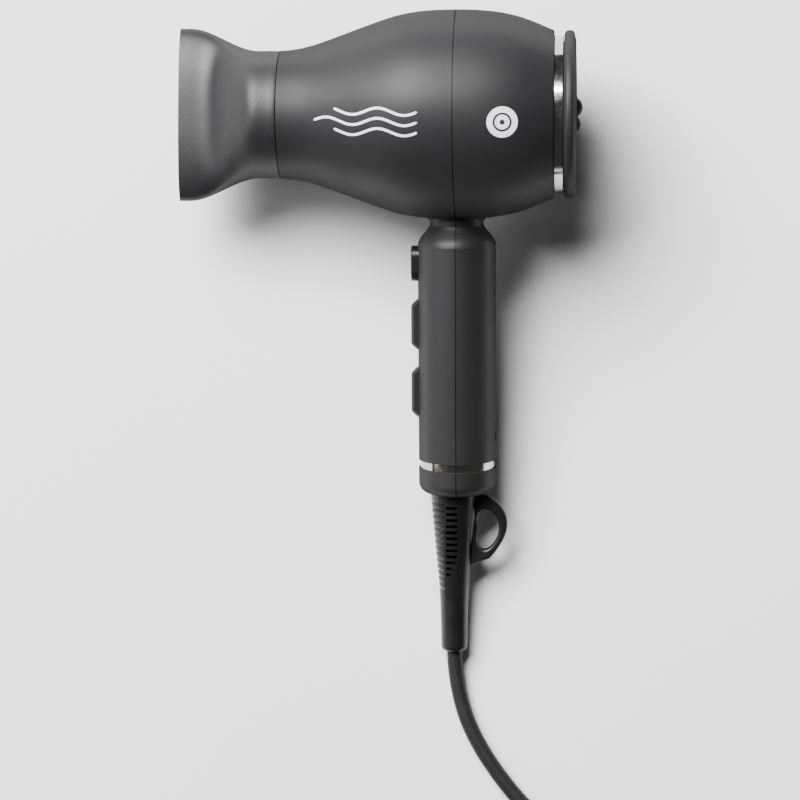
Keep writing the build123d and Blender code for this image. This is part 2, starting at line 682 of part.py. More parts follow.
LEAD_R = 0.9
LEAD_ROUTE = [
    (-6.0, TERMINAL_Y),
    (6.5, TERMINAL_Y),
    (7.2, -100.0),
    (5.0, -48.0),
    (5.2, -38.0),
    (-16.5, -37.6),
    (-16.5, -27.2),
]
with BuildPart() as supply_leads:
    for z in (-5.0, 5.0):
        with BuildLine():
            run = FilletPolyline(*[(x, y, z) for x, y in LEAD_ROUTE], radius=[3, 20, 20, 4, 4])
        with BuildSketch(Plane(run @ 0, z_dir=run % 0)):
            Circle(LEAD_R)
        sweep(path=run)
stand(supply_leads.part, "supply_leads")

with BuildPart() as heater_tabs:
    for z in (-5.0, 5.0):
        block((-17.4, -15.6), (-27.2, -19.0), (z - 0.4, z + 0.4))
stand(heater_tabs.part, "heater_tabs")

with BuildPart() as motor_leads:
    for y in (-5.0, 5.0):
        rod_x(-30.0, -14.0, 0.6, y=y, z=1.0)
stand(motor_leads.part, "motor_leads")

# ---------------------------------------------------------------- cord entry
with BuildPart() as inner_cord:
    with Locations((BOOT_X, (BOOT_TIP_Y - 157.0) / 2, 0)):
        Cylinder(CORD_R, -157.0 - BOOT_TIP_Y, rotation=(90, 0, 0))
stand(inner_cord.part, "inner_cord")

with BuildPart() as cord_clamp:
    face = BOOT_X + CORD_R
    block((face, face + 2.0), (CLAMP_Y - 2.8, CLAMP_Y + 2.8), (-9.2, 9.2))
    for z in (-6.6, 6.6):
        rod_x(face - 1, face + 3, 1.25, y=CLAMP_Y, z=z, mode=Mode.SUBTRACT)
stand(cord_clamp.part, "cord_clamp")

with BuildPart() as clamp_screws:
    for z in (-6.6, 6.6):
        head = BOOT_X + CORD_R + 2.0
        rod_x(head - 10.5, head, 1.0, y=CLAMP_Y, z=z)
        rod_x(head, head + 1.5, 2.1, y=CLAMP_Y, z=z)
        slot = (CLAMP_Y - 1.6, CLAMP_Y + 1.6)
        block((head + 0.8, head + 1.6), slot, (z - 0.25, z + 0.25), mode=Mode.SUBTRACT)
stand(clamp_screws.part, "clamp_screws")

# The ribs are what is left between two columns of slots, set half a pitch apart, which are cut
# from the front down to a core round the cord.
with BuildPart() as rib_slots:
    for i in range(RIB_COUNT):
        y = RIB_TOP_Y - RIB_PITCH * i
        end_x = 1.8 - 6.4 * blend((i - 7) / 8)
        block((-14, RIB_SPLIT_X - 0.3), (y - RIB_SLOT / 2, y + RIB_SLOT / 2), (-14, 14))
        if end_x > RIB_SPLIT_X + 1.5:
            y -= RIB_PITCH / 2
            block((RIB_SPLIT_X + 0.3, end_x), (y - RIB_SLOT / 2, y + RIB_SLOT / 2), (-14, 14))
    with Locations((0, -200, 0)):
        Cylinder(RIB_CORE_R, 100, rotation=(90, 0, 0), mode=Mode.SUBTRACT)

with BuildPart() as strain_relief:
    with BuildSketch(Plane.XY):
        with BuildLine():
            flank = Spline(*BOOT_STATIONS)
            tip = Spline(
                flank @ 1,
                (4.6, BOOT_TIP_Y),
                tangents=[(-0.02, -1), (-1, 0)],
                tangent_scalars=[1, 1],
            )
            Polyline(
                tip @ 1,
                (CORD_R, BOOT_TIP_Y),
                (CORD_R, -166.6),
                (11.7, -166.6),
                (11.7, HANDLE_END_Y + WALL + 0.9),
                (10.4, HANDLE_END_Y + WALL),
                (10.0, HANDLE_END_Y + WALL),
                (10.0, HANDLE_END_Y - 0.2),
                flank @ 0,
            )
        make_face()
    revolve(axis=Axis.Y)
    add(rib_slots.part, mode=Mode.SUBTRACT)
    # Hanging loop, moulded on at the back.
    with BuildSketch(Plane.XY):
        with BuildLine():
            outer = Spline(
                (6.0, -172.6),
                (17.0, -173.4),
                (24.2, -186.6),
                (16.5, -201.2),
                (6.5, -205.4),
                tangents=[(1, 0.1), (-0.9, -0.4)],
            )
            Line(outer @ 1, outer @ 0)
        make_face()
        with BuildLine():
            hole = Spline(
                (11.4, -180.4),
                (15.0, -178.8),
                (19.0, -182.0),
                (20.2, -188.4),
                (17.6, -194.8),
                (13.6, -197.4),
                (10.6, -195.0),
                (10.8, -187.0),
                periodic=True,
            )
        make_face(mode=Mode.SUBTRACT)
    extrude(amount=2.4, both=True)
    loop_edges = strain_relief.edges().filter_by_position(Axis.X, 12, 30)
    fillet(loop_edges, radius=1.2)
    with Locations((0, -200, 0)):
        Cylinder(CORD_R, 100, rotation=(90, 0, 0), mode=Mode.SUBTRACT)
stand(strain_relief.part.moved(Location((BOOT_X, 0, 0))), "strain_relief")


# ---------------------------------------------------------------- supply cord, on the table
def corner_radii(route):
    """Arc radii of a cord's route: 0.45 of the shorter run over the tangent of half the turn."""
    points = [Vector(*point) for point in route]
    radii = []
    for before, here, after in zip(points, points[1:], points[2:]):
        arriving, leaving = here - before, after - here
        shorter = min(arriving.length, leaving.length)
        radii.append(0.45 * shorter / tan(radians(arriving.get_angle(leaving) / 2)))
    return radii


# From the strain relief to the coil, and from the coil to the plug.
CORD_ROUTE = [
    (33.79, -143.35, 5.65),
    (33.9, -155.6, 3.5),
    (40.7, -181.4, 3.5),
    (58.9, -208.4, 3.7),
    (75.2, -224.2, 4.1),
    (90.5, -236.4, 4.5),
]
TAIL_ROUTE = [
    (54.0, -326.7, 4.5),
    (33.0, -326.2, 4.0),
    (14.0, -317.5, 8.8),
    (-6.0, PLUG_Y, PLUG_Z),
    (PLUG_BOOT_X, PLUG_Y, PLUG_Z),
]

with BuildPart() as cord_tube:
    for route in (CORD_ROUTE, TAIL_ROUTE):
        radii = corner_radii(route)
        print("cord radii:", [round(r, 1) for r in radii])
        with BuildLine():
            run = FilletPolyline(*route, radius=radii)
        with BuildSketch(Plane(run @ 0, z_dir=run % 0)):
            Circle(CORD_R)
        sweep(path=run)
        print("cord run length:", round(run.length, 1))
print("cord volume:", round(cord_tube.part.volume), "section:", round(pi * CORD_R**2, 2))
write(cord_tube.part, "cord_tube")

coil_x, coil_y = COIL_CENTRE
coil_z = TIE_THICKNESS + COIL_HEIGHT / 2
coil_axis = Axis((coil_x, coil_y, 0), (0, 0, 1))
tie_section = Plane((coil_x, coil_y, coil_z), x_dir=(0, 1, 0), z_dir=(1, 0, 0))

with BuildPart() as cord_coil:
    with BuildSketch(tie_section):
        with Locations((COIL_MID_R, 0)):
            RectangleRounded(COIL_WIDTH, COIL_HEIGHT, 6)
    revolve(axis=coil_axis)
write(cord_coil.part, "cord_coil")

with BuildPart() as cord_tie:
    with BuildSketch(tie_section):
        with Locations((COIL_MID_R, 0)):
            RectangleRounded(COIL_WIDTH + 2 * TIE_THICKNESS, COIL_HEIGHT + 2 * TIE_THICKNESS, 6.8)
            RectangleRounded(COIL_WIDTH, COIL_HEIGHT, 6, mode=Mode.SUBTRACT)
    revolve(axis=coil_axis, revolution_arc=TIE_ARC)
write(cord_tie.part, "cord_tie")

# ---------------------------------------------------------------- plug
with BuildPart() as plug_body:
    for x, width, height in (
        (PLUG_BACK_X, 15.0, 14.0),
        (PLUG_BACK_X - 10, 27.0, 19.0),
        (PLUG_BACK_X - 22, 34.0, 24.5),
        (PLUG_FACE_X, PLUG_WIDTH, PLUG_HEIGHT),
    ):
        with BuildSketch(Plane((x, PLUG_Y, PLUG_Z), x_dir=(0, 1, 0), z_dir=(-1, 0, 0))):
            RectangleRounded(width, height, 0.42 * height)
    loft()
    fillet(plug_body.faces().sort_by(Axis.X)[0].edges(), radius=1.5)
write(plug_body.part, "plug_body")

with BuildPart() as plug_boot:
    with BuildSketch(Plane((PLUG_BOOT_X, PLUG_Y, PLUG_Z), x_dir=(0, 1, 0), z_dir=(-1, 0, 0))):
        Circle(4.4)
    with BuildSketch(Plane((PLUG_BACK_X, PLUG_Y, PLUG_Z), x_dir=(0, 1, 0), z_dir=(-1, 0, 0))):
        Circle(6.2)
    loft()
    for step in range(4):
        x = PLUG_BOOT_X - 2.0 - 2.6 * step
        with BuildSketch(Plane((x, PLUG_Y, PLUG_Z), x_dir=(0, 1, 0), z_dir=(-1, 0, 0))):
            Circle(8)
            Circle(4.0, mode=Mode.SUBTRACT)
            Rectangle(1.6, 20, mode=Mode.SUBTRACT)
        extrude(amount=1.1, mode=Mode.SUBTRACT)
write(plug_boot.part, "plug_boot")

with BuildPart() as plug_pins:
    for side in (-PIN_PITCH / 2, PIN_PITCH / 2):
        rod_x(PLUG_FACE_X - PIN_LENGTH, PLUG_FACE_X, PIN_R, y=PLUG_Y + side, z=PLUG_Z)
    fillet(plug_pins.faces().sort_by(Axis.X)[:2].edges(), radius=0.9)
write(plug_pins.part, "plug_pins")
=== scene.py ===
"""Looks of a hand-held hair dryer that lies on its side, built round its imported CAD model.

Everything is in metres, in the row's frame. Places on the dryer are given in its design frame:
the barrel runs along X with the air outlet at -X, the handle runs along -Y, and the origin is
where their axes cross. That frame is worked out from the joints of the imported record.
"""

import json
from math import atan2, cos, pi, radians, sin

import bmesh
import bpy
from mathutils import Matrix, Vector


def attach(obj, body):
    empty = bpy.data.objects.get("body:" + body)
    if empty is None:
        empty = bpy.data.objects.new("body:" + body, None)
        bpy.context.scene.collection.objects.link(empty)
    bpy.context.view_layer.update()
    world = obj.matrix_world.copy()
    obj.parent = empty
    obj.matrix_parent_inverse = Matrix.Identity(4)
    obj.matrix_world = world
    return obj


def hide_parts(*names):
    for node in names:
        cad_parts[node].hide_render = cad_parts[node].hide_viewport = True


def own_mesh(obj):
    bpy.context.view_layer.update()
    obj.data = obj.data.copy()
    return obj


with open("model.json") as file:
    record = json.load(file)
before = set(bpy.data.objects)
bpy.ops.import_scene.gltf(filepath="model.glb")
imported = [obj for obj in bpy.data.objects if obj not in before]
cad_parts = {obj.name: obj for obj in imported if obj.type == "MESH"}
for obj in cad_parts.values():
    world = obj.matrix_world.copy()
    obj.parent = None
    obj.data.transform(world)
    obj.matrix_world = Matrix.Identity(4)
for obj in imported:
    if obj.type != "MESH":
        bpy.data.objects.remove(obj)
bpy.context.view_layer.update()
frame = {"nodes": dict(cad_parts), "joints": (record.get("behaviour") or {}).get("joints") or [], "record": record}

MM = 0.001

# ---------------------------------------------------------------- the dryer's design frame
joints = {joint["name"]: joint for joint in frame["joints"]}
FAN_PLACE = 26 * MM  # how far behind the handle's axis the fan's joint stands

axis_x = Vector(joints["fan_spin"]["axis"])
axis_z = Vector(joints["speed_rock"]["axis"])
axis_y = axis_z.cross(axis_x)
crossing = Vector(joints["fan_spin"]["pos_m"]) - FAN_PLACE * axis_x
DESIGN = Matrix.Translation(crossing) @ Matrix((axis_x, axis_y, axis_z)).transposed().to_4x4()


def place(x, y, z):
    """A point of the design frame, in millimetres, as a point of the row's frame."""
    return DESIGN @ Vector((x * MM, y * MM, z * MM))


# ---------------------------------------------------------------- camera
CAMERA_HEIGHT = 1.3333  # above the barrel's axis
CAMERA_OFFSET = (-0.0251, -0.1269)  # beside the crossing, seen from above
LENS, SENSOR = 135, 36

camera_data = bpy.data.cameras.new("camera")
camera_data.lens = LENS
camera_data.sensor_width = SENSOR
camera = bpy.data.objects.new("camera", camera_data)
camera.location = crossing + Vector((*CAMERA_OFFSET, CAMERA_HEIGHT))
bpy.context.scene.collection.objects.link(camera)
bpy.context.scene.camera = camera

# ---------------------------------------------------------------- supply cord
# Its places are in the row's frame, in millimetres.
CORD_RADIUS = 3.5
CORD_ROUTE = [
    (33.79, -143.35, 5.65),
    (33.9, -155.6, 3.5),
    (40.7, -181.4, 3.5),
    (58.9, -208.4, 3.7),
    (75.2, -224.2, 4.1),
    (90.5, -236.4, 4.5),
]
TAIL_ROUTE = [
    (54.0, -326.7, 11.2),
    (38.0, -326.7, 9.6),
    (20.5, -323.2, 7.6),
    (4.5, -317.0, 9.0),
    (-9.0, -313.0, 12.3),
    (-24.0, -312.0, 13.1),
]
COIL_CENTRE = (54.0, -274.2)
COIL_START, COIL_TURNS = 46, 10 + 136 / 360  # its first angle, and the turns wound from there
COIL_STEPS = 16  # points in each turn
# Where the turns lie in the bundle: (turns wound, radius, height of the cord's middle).
COIL_PLACES = [
    (0.0, 52.5, 4.3),
    (1.0, 45.5, 4.3),
    (2.0, 38.6, 4.3),
    (3.0, 31.8, 4.3),
    (4.0, 31.8, 11.2),
    (5.0, 38.6, 11.2),
    (6.0, 45.5, 11.2),
    (7.0, 38.6, 18.1),
    (8.0, 45.5, 18.1),
    (9.1, 52.5, 18.1),
    (9.65, 52.5, 11.2),
    (11.0, 52.5, 11.2),
]
STEP_OVER = 0.25  # the part of a turn in which the cord steps over to its next place
STRAP_ANGLE, STRAP_THICKNESS = 95.5, 0.8
STRAP_STEP = COIL_STEPS * (COIL_START + 360 - STRAP_ANGLE) / 360  # the strap's place in each turn

# Unevenness of the turns as they are wound: (size, rate of its wave along the winding).
SWAY, RIPPLE, LIFT = (0.3, 2.3), (0.15, 13), (0.1, 9)

SETTLE_ROUNDS, SINK_ROUNDS = 260, 180  # nothing sinks any more in the last rounds
SINK = 0.03  # how far a turn sinks in one round
EASE = 0.35  # the part of its way to the middle of its neighbours that a point goes in one round
HELD_ENDS = 3  # points at each end of the coil that don't ease or sink
FLOOR_GAP = 0.1  # under the turns that don't lie on the strap
STRAP_REACH = 1.5  # how many points on each side of the strap's middle lie on it
COIL_INNER, COIL_OUTER, COIL_TOP = 31.5, 52.6, 18.4  # bounds of the cord's middle
SMOOTHINGS = 6


def smooth(t):
    t = min(1.0, max(0.0, t))
    return t * t * (3 - 2 * t)


def uneven(kind, wound):
    """How far an unevenness shifts the cord after that many turns."""
    size, rate = kind
    return size * sin(rate * wound)


def wound_spots():
    """The (radius, height) of each point of the coil, as it was wound."""
    steps = round(COIL_TURNS * COIL_STEPS)
    spots = []
    for i in range(1, steps):
        wound = COIL_TURNS * i / steps
        k = max(n for n, spot in enumerate(COIL_PLACES) if spot[0] <= wound)
        (_, radius, height), (then, next_radius, next_height) = COIL_PLACES[k : k + 2]
        share = smooth(1 - (then - wound) / STEP_OVER)
        radius += share * (next_radius - radius) + uneven(SWAY, wound) + uneven(RIPPLE, wound)
        height += share * (next_height - height) + uneven(LIFT, wound)
        spots.append([radius, height])
    return spots


def settle(spots):
    """Push overlapping turns apart and let them sink, until they lie on each other."""
    last = len(spots) - 1
    for round_number in range(SETTLE_ROUNDS):
        sinking = SINK if round_number < SINK_ROUNDS else 0.0
        for i in range(HELD_ENDS, last + 1 - HELD_ENDS):
            for k in (0, 1):
                middle = (spots[i - 1][k] + spots[i + 1][k]) / 2
                spots[i][k] += EASE * (middle - spots[i][k])
            spots[i][1] -= sinking
        for i in range(last + 1):
            for j in range(i + COIL_STEPS, last + 1, COIL_STEPS):
                dr, dz = spots[i][0] - spots[j][0], spots[i][1] - spots[j][1]
                apart = (dr * dr + dz * dz) ** 0.5
                if apart < 2 * CORD_RADIUS:
                    push = (CORD_RADIUS - apart / 2) / max(apart, 0.1)  # never divides by 0
                    for spot, way in ((spots[i], push), (spots[j], -push)):
                        spot[0] += way * dr
                        spot[1] += way * dz
        for i, spot in enumerate(spots):
            on_strap = abs((i + 1) % COIL_STEPS - STRAP_STEP) < STRAP_REACH
            floor_height = CORD_RADIUS + (STRAP_THICKNESS if on_strap else FLOOR_GAP)
            spot[0] = min(COIL_OUTER, max(COIL_INNER, spot[0]))
            spot[1] = min(COIL_TOP, max(floor_height, spot[1]))
    for _ in range(SMOOTHINGS):
        for k in (0, 1):
            old = [spot[k] for spot in spots]
            for i in range(1, last):
                spots[i][k] = (old[i - 1] + 2 * old[i] + old[i + 1]) / 4
    return spots


def coil_points(spots):
    """The coil's points, wound clockwise as seen from above."""
    bulge = 1 / cos(pi / COIL_STEPS)  # the spline runs inside its points by this much
    x, y = COIL_CENTRE
    points = []
    for i, (radius, height) in enumerate(spots):
        angle = radians(COIL_START) - 2 * pi * (i + 1) / COIL_STEPS
        across = bulge * radius
        points.append((x + across * cos(angle), y + across * sin(angle), height))
    return points


def tube(name, points, radius):
    """A round tube along one open NURBS spline, from points in millimetres."""
    data = bpy.data.curves.new(name, "CURVE")
    data.dimensions = "3D"
    data.resolution_u = 8
    data.bevel_depth = 1  # the points carry the radius, so that the curve's box fits the tube
    data.bevel_resolution = 8
    data.use_fill_caps = True
    spline = data.splines.new("NURBS")
    spline.points.add(len(points) - 1)
    for point, where in zip(spline.points, points):
        point.co = (*(MM * value for value in where), 1)
        point.radius = radius * MM
    spline.order_u = 3
    spline.use_endpoint_u = True
    piece = bpy.data.objects.new(name, data)
    bpy.context.scene.collection.objects.link(piece)
    return piece


coil_spots = settle(wound_spots())
supply_cord = tube("supply_cord", CORD_ROUTE + coil_points(coil_spots) + TAIL_ROUTE, CORD_RADIUS)
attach(supply_cord, "dryer")
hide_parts("cord_tube", "cord_coil")


# ---------------------------------------------------------------- materials
NOISE_LOW, NOISE_HIGH = 0.3, 0.7  # most of a noise pattern lies between these
GLANCE_LOW, GLANCE_HIGH = 0.4, 0.9  # Facing values over which a surface turns to a glancing angle


class Shade:
    """A node material that is put together step by step."""

    def __init__(self, name, colour, roughness, metallic=0.0):
        self.material = bpy.data.materials.new(name)
        self.material.use_nodes = True
        self.nodes = self.material.node_tree.nodes
        self.links = self.material.node_tree.links
        self.shader = self.nodes["Principled BSDF"]
        self.shader.inputs["Base Color"].default_value = (*colour, 1)
        self.shader.inputs["Roughness"].default_value = roughness
        self.shader.inputs["Metallic"].default_value = metallic
        self.position = self.nodes.new("ShaderNodeTexCoord").outputs["Object"]

    def noise(self, per_metre, detail=2.0, roughness=0.5):
        """A noise pattern with that many features per metre."""
        node = self.nodes.new("ShaderNodeTexNoise")
        node.inputs["Scale"].default_value = per_metre
        node.inputs["Detail"].default_value = detail
        node.inputs["Roughness"].default_value = roughness
        self.links.new(self.position, node.inputs["Vector"])
        return node.outputs["Fac"]

    def stretched(self, scale):
        """Coordinates stretched along one or more axes."""
        node = self.nodes.new("ShaderNodeMapping")
        node.inputs["Scale"].default_value = scale
        self.links.new(self.position, node.inputs["Vector"])
        return node.outputs["Vector"]

    def remap(self, pattern, low, high, to_low, to_high):
        """A pattern's values from low..high spread over to_low..to_high."""
        node = self.nodes.new("ShaderNodeMapRange")
        node.inputs["From Min"].default_value = low
        node.inputs["From Max"].default_value = high
        node.inputs["To Min"].default_value = to_low
        node.inputs["To Max"].default_value = to_high
        self.links.new(pattern, node.inputs["Value"])
        return node.outputs["Result"]

    def tint(self, pattern, colours, low=NOISE_LOW, high=NOISE_HIGH):
        """Base colour that runs between two colours with a pattern."""
        ramp = self.nodes.new("ShaderNodeValToRGB")
        ramp.color_ramp.elements[0].position = low
        ramp.color_ramp.elements[1].position = high
        for element, colour in zip(ramp.color_ramp.elements, colours):
            element.color = (*colour, 1)
        self.links.new(pattern, ramp.inputs["Fac"])
        self.links.new(ramp.outputs["Color"], self.shader.inputs["Base Color"])
        return self

    def vary_roughness(self, pattern, low, high):
        """Roughness that runs from low to high with a pattern."""
        varied = self.remap(pattern, NOISE_LOW, NOISE_HIGH, low, high)
        self.links.new(varied, self.shader.inputs["Roughness"])
        return self

    def dull_edge(self, rise):
        """Less gloss at a glancing angle, as on a soft-touch coat."""
        layer = self.nodes.new("ShaderNodeLayerWeight")
        more = self.remap(layer.outputs["Facing"], GLANCE_LOW, GLANCE_HIGH, 0.0, rise)
        total = self.nodes.new("ShaderNodeMath")
        before = self.shader.inputs["Roughness"]
        self.links.new(before.links[0].from_socket, total.inputs[0])
        self.links.new(more, total.inputs[1])
        self.links.new(total.outputs["Value"], before)
        return self

    def bump(self, pattern, depth, strength=1.0):
        """Relief of that depth in metres, laid over any relief set before."""
        node = self.nodes.new("ShaderNodeBump")
        node.inputs["Distance"].default_value = depth
        node.inputs["Strength"].default_value = strength
        self.links.new(pattern, node.inputs["Height"])
        before = self.shader.inputs["Normal"]
        if before.is_linked:
            self.links.new(before.links[0].from_socket, node.inputs["Normal"])
        self.links.new(node.outputs["Normal"], before)
        return self


def grey(value, warmth=0.0):
    """A grey of that linear value, a little warmer or cooler."""
    return (value * (1.02 + warmth), value, value * (1.05 - warmth))


def moulded_plastic(
    name, value, roughness, grain=4200, relief=0.00002, warmth=-0.02, specular=0.5, edge=0.0
):
    """Spark-eroded moulding: fine grain, faint clouding and a little uneven gloss."""
    shade = Shade(name, grey(value, warmth), roughness)
    shade.shader.inputs["Specular IOR Level"].default_value = specular
    clouds = shade.noise(38, detail=3)
    fine = shade.noise(grain, detail=2)
    shade.tint(fine, (grey(value * 0.86, warmth), grey(value * 1.14, warmth)), 0.35, 0.65)
    shade.vary_roughness(clouds, roughness - 0.04, roughness + 0.05)
    if edge:
        shade.dull_edge(edge)
    shade.bump(fine, relief, 0.6)
    shade.bump(shade.noise(grain * 0.33, detail=1), relief * 1.5, 0.35)
    return shade.material


def rubber(name, value, roughness=0.5, grain=2600, specular=0.35):
    """Soft black moulding with a fine, slightly greasy skin."""
    shade = Shade(name, grey(value), roughness)
    shade.shader.inputs["Specular IOR Level"].default_value = specular
    fine = shade.noise(grain, detail=3)
    shade.tint(fine, (grey(value * 0.75), grey(value * 1.3)), 0.35, 0.65)
    shade.vary_roughness(shade.noise(120, detail=3), roughness - 0.08, roughness + 0.08)
    shade.bump(fine, 0.00003, 0.5)
    return shade.material


def plated_metal(name, colour, roughness=0.12):
    """Bright plating over a moulding, with faint waviness and fine smears."""
    shade = Shade(name, colour, roughness, metallic=1.0)
    darker = tuple(0.86 * c for c in colour)
    shade.tint(shade.noise(90, detail=3), (darker, colour))
    shade.vary_roughness(shade.noise(260, detail=5), roughness * 0.7, roughness * 1.5)
    shade.bump(shade.noise(450, detail=1), 0.00001, 0.25)
    return shade.material


def bare_metal(name, colour, roughness=0.35):
    """Drawn or turned metal with fine lines."""
    shade = Shade(name, colour, roughness, metallic=1.0)
    lines = shade.nodes.new("ShaderNodeTexNoise")
    lines.inputs["Scale"].default_value = 900
    lines.inputs["Detail"].default_value = 3
    shade.links.new(shade.stretched((1.0, 0.06, 1.0)), lines.inputs["Vector"])
    darker = tuple(0.75 * c for c in colour)
    shade.tint(lines.outputs["Fac"], (darker, colour))
    shade.vary_roughness(lines.outputs["Fac"], roughness - 0.1, roughness + 0.1)
    shade.bump(lines.outputs["Fac"], 0.00001, 0.4)
    return shade.material


def mineral(name, light, dark, grain=500, roughness=0.6):
    """Mica, foam, board or magnet: speckled, matt and a little rough."""
    shade = Shade(name, light, roughness)
    speckle = shade.noise(grain, detail=4, roughness=0.65)
    shade.tint(speckle, (dark, light))
    shade.vary_roughness(speckle, roughness - 0.1, roughness + 0.1)
    shade.bump(speckle, 0.00008, 0.6)
    return shade.material


BARS_PER_METRE = 3.2  # in a wave texture of scale 1


def gauze(name, colour, pitch):
    """Fine woven wire, as two crossed sets of bars, with painted shade in the gaps between them."""
    shade = Shade(name, colour, 0.45, metallic=0.6)
    bars = []
    for turn in (0, 90):
        mapping = shade.nodes.new("ShaderNodeMapping")
        mapping.inputs["Rotation"].default_value = (radians(turn), 0, 0)
        shade.links.new(shade.position, mapping.inputs["Vector"])
        wave = shade.nodes.new("ShaderNodeTexWave")
        wave.bands_direction = "Y"
        wave.inputs["Scale"].default_value = 1 / pitch / BARS_PER_METRE
        shade.links.new(mapping.outputs["Vector"], wave.inputs["Vector"])
        bars.append(wave.outputs["Fac"])
    both = shade.nodes.new("ShaderNodeMath")
    both.operation = "MAXIMUM"
    shade.links.new(bars[0], both.inputs[0])
    shade.links.new(bars[1], both.inputs[1])
    # The gaps between the bars are painted near-black: painted shade for the dark inside seen through the
    # openings.
    shade.tint(both.outputs["Value"], ((0.004, 0.004, 0.004), colour), 0.55, 0.9)
    shade.bump(both.outputs["Value"], 0.0002, 0.8)
    return shade.material


body_plastic = moulded_plastic("body_plastic", 0.012, 0.50, specular=0.27, edge=0.5)
nozzle_plastic = moulded_plastic(
    "nozzle_plastic", 0.012, 0.45, grain=1500, relief=0.00006, specular=0.40, edge=0.5
)
rocker_plastic = moulded_plastic("rocker_plastic", 0.010, 0.38, specular=0.3)
black_nylon = moulded_plastic("black_nylon", 0.014, 0.55)
button_plastic = moulded_plastic("button_plastic", 0.006, 0.3, specular=0.4)
grip_rubber = rubber("grip_rubber", 0.004, 0.6, specular=0.1)
boot_rubber = rubber("boot_rubber", 0.006, 0.34, grain=1900, specular=0.4)
cord_rubber = rubber("cord_rubber", 0.010, 0.55, specular=0.25)
plug_rubber = rubber("plug_rubber", 0.010, 0.48)
trim_metal = plated_metal("trim_metal", (0.62, 0.57, 0.52))
pin_metal = plated_metal("pin_metal", (0.74, 0.73, 0.70), 0.2)
steel = bare_metal("steel", (0.52, 0.52, 0.54))
brass = bare_metal("brass", (0.70, 0.50, 0.22))
heater_wire = bare_metal("heater_wire", (0.36, 0.30, 0.26), 0.45)
mica = mineral("mica", (0.52, 0.44, 0.30), (0.34, 0.27, 0.17))
foam = mineral("foam", (0.06, 0.06, 0.062), (0.01, 0.01, 0.01), grain=1500, roughness=0.9)
magnet = mineral("magnet", (0.08, 0.08, 0.085), (0.04, 0.04, 0.04), grain=2500, roughness=0.5)
board_green = mineral(
    "board_green", (0.03, 0.15, 0.06), (0.02, 0.10, 0.04), grain=300, roughness=0.4
)
filter_wire = gauze("filter_wire", (0.20, 0.20, 0.21), 0.0011)
white_print = moulded_plastic("white_print", 0.80, 0.45, relief=0.000005)

# The finish of each material slot, and the nodes that have one of their own.
FINISHES = {
    "body_plastic": body_plastic,
    "nozzle_plastic": nozzle_plastic,
    "rocker_plastic": rocker_plastic,
    "black_nylon": black_nylon,
    "trim_metal": trim_metal,
    "cord_rubber": cord_rubber,
    "steel": steel,
    "mica": mica,
    "heater_wire": heater_wire,
    "brass": brass,
    "magnet": magnet,
    "foam": foam,
    "pin_metal": pin_metal,
    "filter_wire": filter_wire,
    "board_green": board_green,
    "strap": foam,
}
OWN_FINISH = {
    "strain_relief": boot_rubber,
    "plug_body": plug_rubber,
    "plug_boot": plug_rubber,
    "cool_shot_button": button_plastic,
    "cover_grip": grip_rubber,
}

for subpart in frame["record"]["subparts"]:
    node = subpart["node"]
    data = frame["nodes"][node].data
    data.materials.clear()
    finish = OWN_FINISH[node] if node in OWN_FINISH else FINISHES[subpart["material_slot"]]
    data.materials.append(finish)

supply_cord.data.materials.append(cord_rubber)

spring_mesh = frame["nodes"]["cool_shot_spring"].data.copy()
button_spring = bpy.data.objects.new("button_spring", spring_mesh)
bpy.context.scene.collection.objects.link(button_spring)
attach(button_spring, "dryer")
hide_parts("cool_shot_spring")
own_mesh(button_spring)


# ---------------------------------------------------------------- mesh helpers
def mesh_piece(name, points, faces, material, body):
    """A mesh piece that rides on a body and takes the finish it is given."""
    data = bpy.data.meshes.new(name)
    data.from_pydata([tuple(p) for p in points], [], faces)
    data.validate()
    data.update()
    tidy = bmesh.new()
    tidy.from_mesh(data)
    bmesh.ops.recalc_face_normals(tidy, faces=tidy.faces)
    tidy.to_mesh(data)
    tidy.free()
    data.shade_smooth()
    data.materials.append(material)
    piece = bpy.data.objects.new(name, data)
    bpy.context.scene.collection.objects.link(piece)
    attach(piece, body)
    return piece


# ---------------------------------------------------------------- strap round the coil
STRAP_HALF_WIDTH = 4.2
STRAP_EDGE, STRAP_CROWN = 0.85, 0.15  # shares of its thickness: all over, and more in its middle
STRAP_BITE = 0.02  # how deep it presses into the cord
STRAP_CLEAR = 0.02  # its least height above the floor
STRAP_ACROSS, STRAP_CORNER = 7, 6  # its points across, and its steps round a turn of the cord


def turn_of(a, b, c):
    """Twice the area of a triangle in the bundle's section, positive if it runs anticlockwise."""
    return (b[0] - a[0]) * (c[1] - a[1]) - (b[1] - a[1]) * (c[0] - a[0])


def hull_round(spots):
    """The spots that lie on the outside of the bundle, anticlockwise."""
    ordered = sorted(spots)
    hull = []
    for run in (ordered, ordered[::-1]):
        side = []
        for spot in run:
            while len(side) > 1 and turn_of(side[-2], side[-1], spot) <= 0:
                side.pop()
            side.append(spot)
        hull += side[:-1]
    return hull


